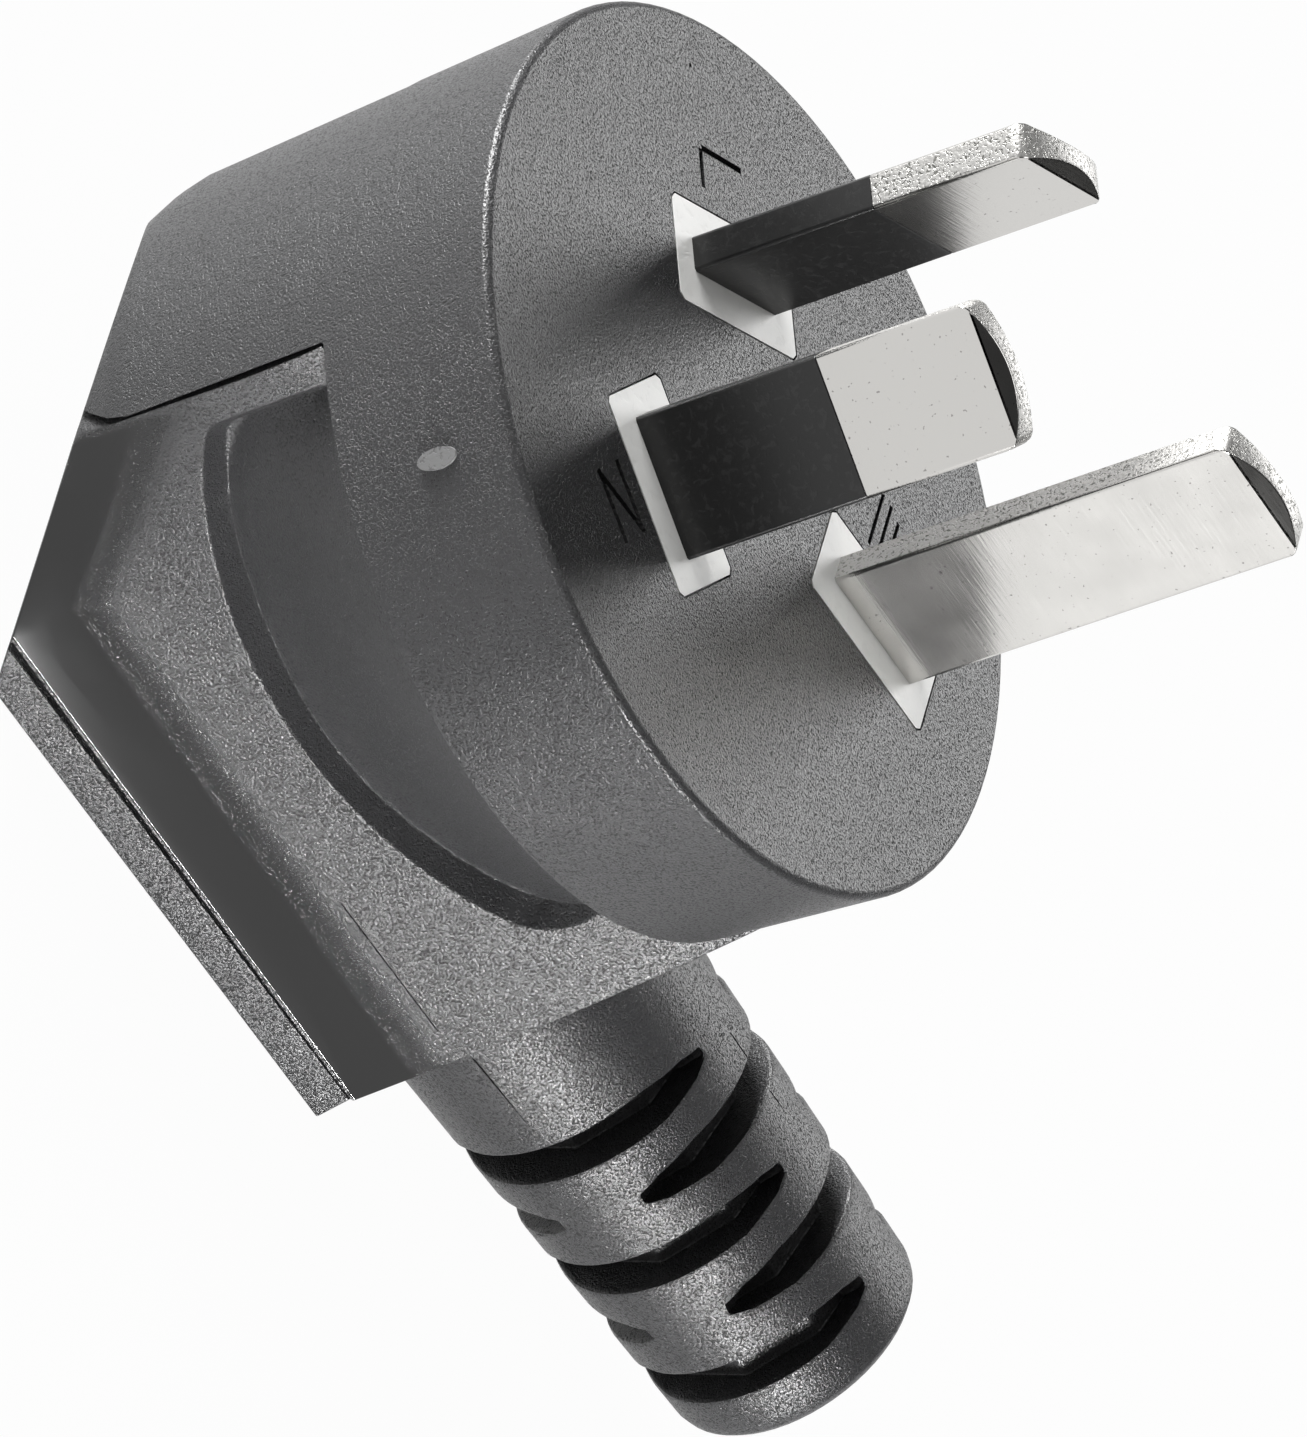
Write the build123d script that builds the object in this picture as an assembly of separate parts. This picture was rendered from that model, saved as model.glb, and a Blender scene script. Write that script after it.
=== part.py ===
from build123d import *
import math
import os

# Right-angle type I mains plug: a moulded body, three flat pins and the pieces set inside it.
# Millimetres. The origin is the middle of the pin pattern on the plug's face, +Z is the way the
# pins point, +Y is away from the cord, and the plug rests on its flat back with the pins up.

# Pins
blade_width = 6.35
blade_thickness = 1.63
blade_edge_chamfer = 0.12
live_pin_length = 17.06
earth_pin_length = 20.1
live_pin_radius = 7.92
earth_pin_radius = 10.31
live_pin_angle = 30
pin_tail = 10.0
tip_arc_radius = 6.4
tip_corner_radius = 0.7
tip_bevel_length = 0.65
tip_bevel_depth = 0.36
retention_notch_width = 1.2
retention_notch_depth = 4.3
retention_notch_length = 0.6

# Sleeves on the active and neutral pins, flush with the metal beyond them
sleeve_length = 8.9
sleeve_root = 1.6
sleeve_side_wall = 0.40
sleeve_face_wall = 0.35

# Pin carrier
boss_width = 8.9
boss_thickness = 4.9
boss_corner_chamfer = 0.25
carrier_top_depth = 2.5
carrier_thickness = 3.5
carrier_rim = 0.9
key_hole_width = 2.4
key_circle_radius = 9.4

# Crimp terminals on the pin tails
crimp_sheet = 0.5
crimp_tongue_width = 4.2
crimp_tongue_length = 3.4
crimp_floor_width = 1.5
wire_barrel_radius = 1.45
wire_barrel_length = 2.3
jacket_barrel_radius = 1.75
jacket_barrel_length = 1.8
crimp_gap = 0.5
crimp_step = 0.1
crimp_seam = 0.3
crimp_sides = 6

# Round front of the body
drum_radius = 19.75
drum_depth = 8.7
drum_draft = 3.6
face_edge_chamfer = 0.25
fuse_overlap = 0.35

# Fin behind the drum, widths measured from the middle plane
fin_top_front_width = 8.25
fin_top_middle_width = 7.5
fin_top_land_width = 7.45
fin_top_back_width = 8.1
fin_foot_front_width = 5.6
fin_foot_middle_width = 7.7
fin_foot_land_width = 8.5
fin_foot_back_width = 8.72
fin_middle_depth = 20.0
fin_land_depth = 27.6
fin_foot = 19.4
crown_depth = 19.0
crown_step = 1.2
crown_turn = 8.0
body_depth = 32.2
slope_top_height = 17.0
slope_top_depth = 21.4
slope_foot_height = 6.6
cap_front_height = 17.25
cap_back_height = 16.6
groove_width = 0.35
groove_root_width = 7.1
rim_thickness = 1.8
rim_width = 9.0
rim_draft = 6.0

# Finger scoops in the fin's sides
scoop_depth = 1.2
scoop_wall_draft = 35.0
scoop_root_width = 6.0
scoop_edge_width = 8.2
scoop_top = 15.1
scoop_top_depth = 16.7
scoop_corner_radius = 2.5
scoop_deepest_height = -4.0
scoop_deepest_depth = 22.5
scoop_heel_height = -13.4
scoop_heel_depth = 20.0
scoop_foot = 15.8
scoop_foot_depth = 14.5

# Floors of the scoops, from a bow at the drum's back edge to a narrow one deep in the fin
floor_side_width = 6.3
floor_root_width = 3.0
floor_rim_step = 0.35
floor_rim_top = 15.9
floor_rim_foot = 16.6
floor_rim_middle = -1.0
floor_end_depth = 22.0
floor_end_top = 0.0
floor_end_foot = 7.5
floor_end_middle = -3.8
floor_end_width = 6.4
floor_bow_power = 1.32
floor_edge_power = 3.5
floor_slice_count = 6

# Strain relief and the cord's way in
relief_axis_depth = 25.1
relief_root_radius = 7.05
relief_end_radius = 6.15
relief_end = 45.2
relief_end_rounding = 1.2
relief_end_facets = 3
slot_count = 5
slot_first = 27.1
slot_pitch = 3.57
slot_half_width = 0.92
slot_shoulder_half_width = 0.6
slot_tip_half_width = 0.25
slot_tip_length = 1.8
slot_half_angle = 70.0
slot_floor_radius = 4.5
slot_floor_sides = 8
slot_web = 1.5
cord_radius = 3.6
cord_end = 18.0
core_radius = 1.15
core_circle_radius = 1.9
core_straight_run = 1.2
core_seats = (30, 150, -90)

# Moulding gate's mark on the drum's side
gate_angle = 136.0
gate_depth = 3.8
gate_length = 1.9
gate_width = 0.9
gate_height = 0.2


def drum_radius_at(depth):
    """Radius of the drum's drafted surface at a depth behind the face."""
    return drum_radius - depth * math.tan(math.radians(drum_draft))


def relief_radius_at(distance):
    """Radius of the strain relief at a distance below the pins' middle."""
    rate = (relief_root_radius - relief_end_radius) / (relief_end - fin_foot)
    return relief_root_radius - (distance - fin_foot) * rate


def slope_z(height):
    """Z of the sloped upper back at a height."""
    rate = (body_depth - slope_top_depth) / (slope_top_height - slope_foot_height)
    return -body_depth + (height - slope_foot_height) * rate


def pin_place(angle, radius, turned):
    """Place whose X axis is the blade's thickness, Y its width, and Z the way the pin points."""
    turn = math.radians(angle)
    centre = (radius * math.cos(turn), radius * math.sin(turn), 0)
    return Location(centre, (0, 0, angle + turned))


active_place = pin_place(live_pin_angle, live_pin_radius, 0)
neutral_place = pin_place(180 - live_pin_angle, live_pin_radius, 0)
earth_place = pin_place(-90, earth_pin_radius, 90)
places = (active_place, neutral_place, earth_place)

carrier_back = -carrier_top_depth - carrier_thickness
crimp_wire_back = -pin_tail - crimp_gap - wire_barrel_length
crimp_mouth = crimp_wire_back - crimp_gap - jacket_barrel_length
relief_axis = Axis((0, 0, -relief_axis_depth), (0, 1, 0))


def blade_outline():
    """Section of a pin, and of the sleeve that lies flush with it."""
    outline = Rectangle(blade_thickness, blade_width)
    return chamfer(outline.vertices(), blade_edge_chamfer)


def blade(length):
    """A flat pin with a rounded, bevelled tip, and notches that the carrier is moulded into."""
    half_width = blade_width / 2
    half_thickness = blade_thickness / 2
    tip_half = half_thickness - tip_bevel_depth
    shank_length = length - tip_arc_radius + pin_tail
    stock = Pos(0, 0, -pin_tail) * extrude(blade_outline(), pin_tail + length)
    front = Pos(0, length - tip_arc_radius) * Circle(tip_arc_radius)
    front &= Rectangle(blade_width, 2 * length)
    front += Pos(0, shank_length / 2 - pin_tail) * Rectangle(blade_width, shank_length)
    front = fillet(front.vertices().group_by(Axis.Y)[-1], tip_corner_radius)
    side = Polygon(
        (-half_thickness, -pin_tail),
        (half_thickness, -pin_tail),
        (half_thickness, length - tip_bevel_length),
        (tip_half, length),
        (-tip_half, length),
        (-half_thickness, length - tip_bevel_length),
        align=None,
    )
    pin = stock & extrude(Plane.YZ * front, blade_width, both=True)
    pin &= extrude(Plane.XZ * side, blade_width, both=True)
    notch = Box(2 * blade_thickness, 2 * retention_notch_length, retention_notch_width)
    for edge in (-half_width, half_width):
        pin -= Pos(0, edge, -retention_notch_depth) * notch
    return pin


def sleeve():
    """Insulating sleeve let into a pin, its outside flush with the blade."""
    height = sleeve_length + sleeve_root
    neck = Rectangle(blade_thickness - 2 * sleeve_face_wall, blade_width - 2 * sleeve_side_wall)
    return Pos(0, 0, -sleeve_root) * extrude(blade_outline() - neck, height)


def live_pin():
    """A blade necked down where its sleeve lies."""
    return blade(live_pin_length) - sleeve()


def barrel_centre(radius):
    """X of a barrel whose floor is pressed out a little past the tongue."""
    return blade_thickness / 2 + crimp_sheet + crimp_step - radius


def barrel_outline(radius):
    """Outline of a barrel pressed to flat sides, one of them over the tongue."""
    return RegularPolygon(radius, crimp_sides, major_radius=False, rotation=180 / crimp_sides)


def barrel(radius, length, back):
    """A folded sheet barrel along Z, with its seam opposite the tongue."""
    tube = extrude(barrel_outline(radius) - barrel_outline(radius - crimp_sheet), length)
    seam = Pos(-radius, 0, length / 2) * Box(4 * crimp_sheet, crimp_seam, length)
    return Pos(barrel_centre(radius), 0, back) * (tube - seam)


def crimp():
    """Terminal: a tongue on the pin's tail, a barrel for the bare wire, one for its insulation."""
    floor_x = (blade_thickness + crimp_sheet) / 2
    tongue = Box(crimp_sheet, crimp_tongue_width, crimp_tongue_length)
    terminal = Pos(floor_x, 0, crimp_tongue_length / 2 - pin_tail) * tongue
    terminal += barrel(wire_barrel_radius, wire_barrel_length, crimp_wire_back)
    terminal += barrel(jacket_barrel_radius, jacket_barrel_length, crimp_mouth)
    strip = Box(crimp_sheet, crimp_floor_width, crimp_gap)
    for back in (-pin_tail - crimp_gap, crimp_wire_back - crimp_gap):
        terminal += Pos(floor_x, 0, back + crimp_gap / 2) * strip
    return terminal


def pin_carrier():
    """White moulding: a keyed disc with one boss for each pin, flush with the plug's face."""
    disc = Circle(earth_pin_radius + boss_width / 2 + carrier_rim)
    boss = Rectangle(boss_thickness, boss_width)
    boss = chamfer(boss.vertices(), boss_corner_chamfer)
    key_hole = Rectangle(key_hole_width, key_hole_width)
    floor = Pos(0, 0, carrier_back)
    carrier = floor * extrude(disc, carrier_thickness)
    for place in places:
        carrier += place * floor * extrude(boss, -carrier_back)
    for hole in PolarLocations(key_circle_radius, 3, 90):
        carrier -= hole * floor * extrude(key_hole, carrier_thickness)
    return carrier


def fin_section(height, front_width, middle_width, land_width, back_width, inset):
    """Section of the fin across Y at one height, narrowed by inset on each side."""
    back = -body_depth + rim_thickness
    front = -drum_depth + fuse_overlap
    right = Spline(
        (front_width - inset, front),
        (middle_width - inset, -fin_middle_depth),
        (land_width - inset, -fin_land_depth),
        (back_width - inset, back),
    )
    left = right.mirror(Plane.YZ)
    sides = [right, left, Line(left @ 0, right @ 0), Line(left @ 1, right @ 1)]
    return Plane.XZ.offset(-height) * make_face(sides)


def fin(inset):
    """The fin's full height, with the sides' slow twist from its top to its foot."""
    top = fin_section(
        drum_radius,
        fin_top_front_width,
        fin_top_middle_width,
        fin_top_land_width,
        fin_top_back_width,
        inset,
    )
    foot = fin_section(
        -fin_foot,
        fin_foot_front_width,
        fin_foot_middle_width,
        fin_foot_land_width,
        fin_foot_back_width,
        inset,
    )
    return loft([top, foot], ruled=True)


def drafted_cylinder(depth):
    """The drum's drafted surface, as far back as a depth behind the face."""
    half = Polygon(
        (0, 0),
        (drum_radius_at(0), 0),
        (drum_radius_at(depth), -depth),
        (0, -depth),
        align=None,
    )
    return revolve(Plane.XZ * half, Axis.Z)


def crown():
    """The drum's surface carried on to the back, rolled in a little towards its far corner."""
    first_turn = math.radians(drum_draft + crown_turn)
    second_turn = math.radians(drum_draft + 2 * crown_turn)
    second_depth = crown_depth + crown_step
    second_radius = drum_radius_at(crown_depth) - crown_step * math.tan(first_turn)
    back_radius = second_radius - (body_depth - second_depth) * math.tan(second_turn)
    half = Polygon(
        (0, 0),
        (drum_radius_at(0), 0),
        (drum_radius_at(crown_depth), -crown_depth),
        (second_radius, -second_depth),
        (back_radius, -body_depth),
        (0, -body_depth),
        align=None,
    )
    return revolve(Plane.XZ * half, Axis.Z)


def drum():
    cylinder = drafted_cylinder(drum_depth)
    return chamfer(cylinder.edges().group_by(Axis.Z)[-1], face_edge_chamfer)


def floor_slice(run):
    """Slice of a scoop's floor across Z, where run goes from 0 at the drum to 1 deep in the fin."""
    rim_depth = drum_depth - fuse_overlap
    rim_width = drum_radius_at(drum_depth) - floor_rim_step
    edge_run = run ** floor_edge_power
    depth = rim_depth + (floor_end_depth - rim_depth) * run
    top = floor_rim_top + (floor_end_top - floor_rim_top) * edge_run
    foot = floor_rim_foot + (floor_end_foot - floor_rim_foot) * edge_run
    middle = floor_rim_middle + (floor_end_middle - floor_rim_middle) * run
    width = floor_end_width + (rim_width - floor_end_width) * (1 - run) ** floor_bow_power
    bow = ThreePointArc((floor_side_width, top), (width, middle), (floor_side_width, -foot))
    root = Polyline(bow @ 1, (floor_root_width, -foot), (floor_root_width, top), bow @ 0)
    return Pos(0, 0, -depth) * make_face([bow, root])


def scoop_floors():
    """Floors that sweep out from the fin's core to the drum's back edge, one on each side."""
    last = floor_slice_count - 1
    side = loft([floor_slice(index / last) for index in range(floor_slice_count)])
    return side + mirror(side, Plane.YZ)


def side_room():
    """All that lies above the foot and in front of the sloped upper back."""
    side = Polygon(
        (-fin_foot, 0),
        (drum_radius, 0),
        (drum_radius, slope_z(drum_radius)),
        (slope_foot_height, -body_depth),
        (-fin_foot, -body_depth),
        align=None,
    )
    return extrude(Plane.YZ * side, drum_radius, both=True)


def fin_room():
    """The side room, with the crown's round surface over its upper half."""
    lower = Pos(0, -drum_radius, -body_depth / 2) * Box(2 * drum_radius, 2 * drum_radius, body_depth)
    return side_room() & (crown() + lower)


def cap_room():
    """All that lies above the lipped edge along the fin's top."""
    edge = Polygon(
        (cap_front_height, -drum_depth + fuse_overlap),
        (2 * drum_radius, -drum_depth + fuse_overlap),
        (2 * drum_radius, -slope_top_depth - slope_top_height),
        (cap_back_height, -slope_top_depth - slope_top_height),
        (cap_back_height, -slope_top_depth),
        align=None,
    )
    return extrude(Plane.YZ * edge, drum_radius, both=True)


def cap_groove():
    """Narrow groove round the land on each side: under the cap, then down the drum's back."""
    front = -drum_depth
    path = Polygon(
        (scoop_top, front),
        (cap_front_height, front),
        (cap_back_height, -slope_top_depth),
        (cap_back_height, -slope_top_depth - slope_top_height),
        (cap_back_height - groove_width, -slope_top_depth - slope_top_height),
        (cap_back_height - groove_width, -slope_top_depth),
        (cap_front_height - groove_width, front - groove_width),
        (scoop_top, front - groove_width),
        align=None,
    )
    side = extrude(Plane.YZ.offset(groove_root_width) * path, drum_radius)
    return side + mirror(side, Plane.YZ)


def scoops():
    """Room of both finger scoops in the fin's sides, their walls leaning outwards."""
    rear = ThreePointArc(
        (scoop_top, -scoop_top_depth),
        (scoop_deepest_height, -scoop_deepest_depth),
        (scoop_heel_height, -scoop_heel_depth),
    )
    heel = TangentArc(rear @ 1, (-scoop_foot, -scoop_foot_depth), tangent=rear % 1)
    front = Polyline(heel @ 1, (-scoop_foot, 0), (scoop_top, 0), rear @ 0)
    outline = make_face([rear, heel, front])
    shoulder = outline.vertices().sort_by_distance((scoop_top, -scoop_top_depth))[:1]
    outline = fillet(shoulder, scoop_corner_radius)
    lean = math.tan(math.radians(scoop_wall_draft))
    floor = offset(outline, -lean * (scoop_edge_width - scoop_root_width))
    side = extrude(
        Plane.YZ.offset(scoop_root_width) * floor,
        drum_radius - scoop_root_width,
        taper=-scoop_wall_draft,
    )
    return side + mirror(side, Plane.YZ)


def back_rim():
    """Thin plate that closes the plug's back, standing out past the fin's sides."""
    height = fin_foot + slope_top_height
    plate = Pos(0, height / 2 - fin_foot) * Rectangle(2 * rim_width, height)
    return Pos(0, 0, -body_depth) * extrude(plate, rim_thickness, taper=rim_draft)


def strain_relief():
    """Tapered sleeve along the cord, the corner of its free end rounded in a few flat steps."""
    root = fin_foot - fuse_overlap
    centre_radius = relief_end_radius - relief_end_rounding
    centre_distance = relief_end - relief_end_rounding
    corner = []
    for step in range(relief_end_facets + 1):
        turn = math.radians(90 * step / relief_end_facets)
        radius = centre_radius + relief_end_rounding * math.cos(turn)
        corner.append((radius, -centre_distance - relief_end_rounding * math.sin(turn)))
    half = Polygon((0, -root), (relief_radius_at(root), -root), *corner, (0, -relief_end), align=None)
    return revolve(Plane.XY.offset(-relief_axis_depth) * half, relief_axis)


def slot_outline(span):
    """A slot's mouth: even in its middle, narrowing to two blunt tips with their corners cut."""
    neck = span - slot_tip_length
    shoulder = span - slot_tip_length / 4
    corners = [
        (neck, -slot_half_width),
        (shoulder, -slot_shoulder_half_width),
        (span, -slot_tip_half_width),
        (span, slot_tip_half_width),
        (shoulder, slot_shoulder_half_width),
        (neck, slot_half_width),
    ]
    far = [(-across, along) for across, along in reversed(corners)]
    return Polygon(*corners, *far, align=None)


def relief_slots():
    """Pairs of lens-shaped slots, each pair turned a quarter turn from the last."""
    reach = 2 * relief_root_radius
    room = None
    for index in range(slot_count):
        distance = slot_first + index * slot_pitch
        span = relief_radius_at(distance) * math.sin(math.radians(slot_half_angle))
        lens = extrude(Pos(0, 0, slot_web) * slot_outline(span), reach)
        pair = lens + mirror(lens, Plane.XY)
        turn = 90 if index % 2 == 0 else 0
        pair = Pos(0, -distance, -relief_axis_depth) * Rot(0, turn, 0) * pair
        room = pair if room is None else room + pair
    floor = RegularPolygon(slot_floor_radius, slot_floor_sides, major_radius=False)
    return room - Plane.XZ.offset(cord_end) * Pos(0, -relief_axis_depth) * extrude(floor, relief_end)


def cord_bore(radius):
    """Straight round way along the strain relief."""
    length = relief_end - cord_end
    middle = (relief_end + cord_end) / 2
    return Pos(0, -middle, -relief_axis_depth) * Cylinder(radius, length, rotation=(90, 0, 0))


def core_way(place, seat_angle):
    """Way of one insulated wire from its crimp into the cord's bore."""
    way = None
    for radius, length, back in (
        (wire_barrel_radius, wire_barrel_length, crimp_wire_back),
        (jacket_barrel_radius, jacket_barrel_length, crimp_mouth),
    ):
        room = extrude(barrel_outline(radius - crimp_sheet), length)
        room = place * Pos(barrel_centre(radius), 0, back) * room
        way = room if way is None else way + room
    mouth = (place * Pos(barrel_centre(jacket_barrel_radius), 0, crimp_mouth)).position
    seat = math.radians(seat_angle)
    end = Vector(
        core_circle_radius * math.cos(seat),
        -cord_end - fuse_overlap,
        -relief_axis_depth + core_circle_radius * math.sin(seat),
    )
    bend = mouth - Vector(0, 0, core_straight_run)
    core = Circle(core_radius)
    path = Polyline(mouth, bend, end)
    return way + sweep(Plane(mouth, z_dir=(0, 0, -1)) * core, path=path, transition=Transition.RIGHT)


def gate_mark():
    """Small oval left on the drum's side where the moulding gate was cut."""
    radius = drum_radius_at(gate_depth)
    oval = Ellipse(gate_length / 2, gate_width / 2)
    turn = math.radians(gate_angle)
    side = Plane((0, 0, -gate_depth), x_dir=(0, 0, 1), z_dir=(math.cos(turn), math.sin(turn), 0))
    return side.offset(radius - 2 * gate_height) * extrude(oval, 3 * gate_height)


def outer_body():
    """The moulded body as it looks from outside."""
    room = fin_room()
    body = drum() + scoop_floors()
    body += fin(scoop_depth) & room
    body += (fin(0) & room) - scoops() - cap_groove()
    body += room & cap_room()
    body += back_rim() & side_room()
    body += strain_relief()
    body += gate_mark()
    return body - relief_slots()


def housing(inner_pieces):
    """Moulded body round the pieces that were set in the mould, with the cord's way left open."""
    body = outer_body() - cord_bore(cord_radius)
    for place, seat_angle in zip(places, core_seats):
        body -= core_way(place, seat_angle)
    for piece in inner_pieces:
        body -= piece
    return body


def main():
    pins = {
        "active_pin": active_place * live_pin(),
        "neutral_pin": neutral_place * live_pin(),
        "earth_pin": earth_place * blade(earth_pin_length),
        "active_sleeve": active_place * sleeve(),
        "neutral_sleeve": neutral_place * sleeve(),
    }
    crimps = {
        "active_crimp": active_place * crimp(),
        "neutral_crimp": neutral_place * crimp(),
        "earth_crimp": earth_place * crimp(),
    }
    carrier = pin_carrier()
    for pin in pins.values():
        carrier -= pin
    inner = {"pin_carrier": carrier, **pins, **crimps}
    nodes = {"housing": housing(inner.values()), **inner}
    os.makedirs("parts", exist_ok=True)
    for name, shape in nodes.items():
        export_step(shape, f"parts/{name}.step")


if __name__ == "__main__":
    main()
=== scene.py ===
# %% [markdown]
# A right-angle mains plug, dressed
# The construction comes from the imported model: ten pieces at their real size, loaded as a fixed
# frame in metres. This file gives them their looks: a black moulding with a fine eroded grain and
# softened edges, white bosses, satin nickel pins, smooth black sleeves, a few engraved marks,
# and the floor, lamps and camera.

# %% Load the frame
import bmesh
import bpy
import math
from mathutils import Matrix, Vector


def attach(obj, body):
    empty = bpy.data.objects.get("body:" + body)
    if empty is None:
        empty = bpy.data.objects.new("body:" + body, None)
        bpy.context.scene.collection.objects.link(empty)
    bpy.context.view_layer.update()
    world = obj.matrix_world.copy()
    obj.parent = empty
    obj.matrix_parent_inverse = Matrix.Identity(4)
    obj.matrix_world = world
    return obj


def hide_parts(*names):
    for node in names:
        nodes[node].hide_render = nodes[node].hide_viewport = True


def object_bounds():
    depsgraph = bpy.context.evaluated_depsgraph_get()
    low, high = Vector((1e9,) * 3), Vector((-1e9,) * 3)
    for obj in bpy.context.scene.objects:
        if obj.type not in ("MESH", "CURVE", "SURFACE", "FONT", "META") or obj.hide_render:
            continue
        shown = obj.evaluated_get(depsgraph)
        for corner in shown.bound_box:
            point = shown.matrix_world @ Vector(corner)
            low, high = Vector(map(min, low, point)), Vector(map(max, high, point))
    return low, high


mm = 0.001
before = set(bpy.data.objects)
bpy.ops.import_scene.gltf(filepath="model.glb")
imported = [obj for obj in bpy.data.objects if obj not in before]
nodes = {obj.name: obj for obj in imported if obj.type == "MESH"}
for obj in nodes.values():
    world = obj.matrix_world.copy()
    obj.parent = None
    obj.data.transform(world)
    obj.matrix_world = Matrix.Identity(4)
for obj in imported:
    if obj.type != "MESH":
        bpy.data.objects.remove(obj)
cad_low, cad_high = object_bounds()
bpy.ops.object.select_all(action="DESELECT")
print("nodes", sorted(nodes), "size in mm", [round(side / mm, 2) for side in cad_high - cad_low])

# %% [markdown]
# The camera
# The photograph was taken from far away with a long lens, so its edges run almost parallel. The
# camera stands in front of and above the plug, turned so that the cord's end points down and to
# the right. It could be aimed with a constraint, but a plain matrix from its own right, up and
# back directions says exactly how it is rolled.

# %% Camera
camera_place = Vector((-593.4, 384.2, 374.8)) * mm
camera_right = Vector((0.1985, -0.5166, 0.8329))
camera_up = Vector((0.6524, 0.7039, 0.2810))
camera_lens = 476.9
sensor_width = 36
farthest_seen = 10

camera = bpy.data.objects.new("camera", bpy.data.cameras.new("camera"))
turn = Matrix((camera_right, camera_up, camera_right.cross(camera_up))).transposed()
camera.matrix_world = Matrix.Translation(camera_place) @ turn.to_4x4()
camera.data.lens = camera_lens
camera.data.sensor_width = sensor_width
camera.data.clip_end = farthest_seen
bpy.context.scene.collection.objects.link(camera)
bpy.context.scene.camera = camera
print("camera", round(camera_place.length, 3), "m from the pins")

# %% [markdown]
# The floor
# The plug rests on its flat back on a pale floor, which fills the whole picture from this height.
# Lamps strong enough to turn a floor white would wash out the black plastic, so the floor's own
# material adds white where a camera ray, a reflection or a clear piece sees it. The rest of it
# stays a plain matte grey, which takes the plug's shadow and throws only a little light back up.

# %% Floor plane
floor_side = 6.0
bpy.ops.mesh.primitive_plane_add(size=floor_side, location=(0, 0, cad_low.z))
floor = bpy.context.object
floor.name = "floor"
print("floor at", round(floor.location.z / mm, 2), "mm")

# %% Floor material
floor_grey = 0.38
floor_white = 0.97


def link(tree, start, end):
    """Joins an output socket to an input socket."""
    tree.links.new(start, end)


floor_material = bpy.data.materials.new("pale_floor")
floor_material.use_nodes = True
tree = floor_material.node_tree
tree.nodes.clear()
surface = tree.nodes.new("ShaderNodeOutputMaterial")
matte = tree.nodes.new("ShaderNodeBsdfDiffuse")
matte.inputs["Color"].default_value = (floor_grey, floor_grey, floor_grey, 1)
white = tree.nodes.new("ShaderNodeEmission")
path = tree.nodes.new("ShaderNodeLightPath")
seen = None
for ray in ("Is Camera Ray", "Is Glossy Ray", "Is Transmission Ray"):
    most = tree.nodes.new("ShaderNodeMath")
    most.operation = "MAXIMUM"
    most.inputs[0].default_value = 0
    if seen is not None:
        link(tree, seen.outputs[0], most.inputs[0])
    link(tree, path.outputs[ray], most.inputs[1])
    seen = most
share = tree.nodes.new("ShaderNodeMath")
share.operation = "MULTIPLY"
share.inputs[1].default_value = floor_white
both = tree.nodes.new("ShaderNodeMixShader")
link(tree, seen.outputs[0], share.inputs[0])
link(tree, share.outputs[0], both.inputs["Fac"])
link(tree, matte.outputs[0], both.inputs[1])
link(tree, white.outputs[0], both.inputs[2])
link(tree, both.outputs[0], surface.inputs["Surface"])
floor.data.materials.append(floor_material)
bpy.ops.object.select_all(action="DESELECT")
print("floor grey", floor_grey, "and white", floor_white)

# %% [markdown]
# Lamps
# Black plastic shows its form by what it mirrors more than by its colour. One soft box hangs over
# the pins for the white bosses. One stands where the camera sees it mirrored in the flat face,
# so the pins leave dark mirrored patches there. One stands low past the plug's top. The last is
# a narrow strip with a tight beam, just above the floor at the cord's side. It lights the fin and
# the strain relief from the side and stays below the pins, which would throw its light onto the
# face. So surfaces that face the camera stay dark, and those that turn away grow light. A dim
# grey world fills the rest.

# %% Lamps
def soft_box(name, place, width, height, watts, aim=(0, 0, 0), spread=180):
    """A rectangular area lamp that looks at a point, with its beam's angle in degrees."""
    lamp = bpy.data.lights.new(name, "AREA")
    lamp.spread = math.radians(spread)
    lamp.shape = "RECTANGLE"
    lamp.size = width
    lamp.size_y = height
    lamp.energy = watts
    box = bpy.data.objects.new(name, lamp)
    box.location = place
    box.rotation_euler = (Vector(aim) - Vector(place)).to_track_quat("-Z", "Y").to_euler()
    bpy.context.scene.collection.objects.link(box)


strip_place = (-0.42, -0.22, -0.014)
strip_aim = (0, -0.015, -0.014)
strip_spread = 20
soft_box("over_box", (-0.10, 0.10, 0.60), 0.36, 0.36, 0.8)
soft_box("face_box", (0.43, -0.31, 0.26), 0.30, 0.30, 2.1)
soft_box("top_box", (0.34, 0.50, 0.04), 0.40, 0.16, 16.0)
soft_box("side_strip", strip_place, 0.34, 0.034, 0.28, strip_aim, strip_spread)
print("lamps", [lamp.name for lamp in bpy.data.lights])

# %% World
world_grey = 0.03
world = bpy.data.worlds.new("world")
bpy.context.scene.world = world
world.use_nodes = True
sky = world.node_tree.nodes["Background"]
sky.inputs["Color"].default_value = (1, 1, 1, 1)
sky.inputs["Strength"].default_value = world_grey
print("world grey", world_grey)

# %% [markdown]
# The moulding's skin
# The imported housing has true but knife-sharp edges. A moulding has small radii, and they catch
# the light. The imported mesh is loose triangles, so a copy is made whose triangles share corners
# and whose flat parts are one face each. The copy gets the rounded edges and the marks, and then
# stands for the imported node.

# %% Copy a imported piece
merge_distance = 0.0005 * mm
flat_angle = 0.5


def only(piece):
    """Makes one object the active and only selected one."""
    bpy.ops.object.select_all(action="DESELECT")
    piece.select_set(True)
    bpy.context.view_layer.objects.active = piece


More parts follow.
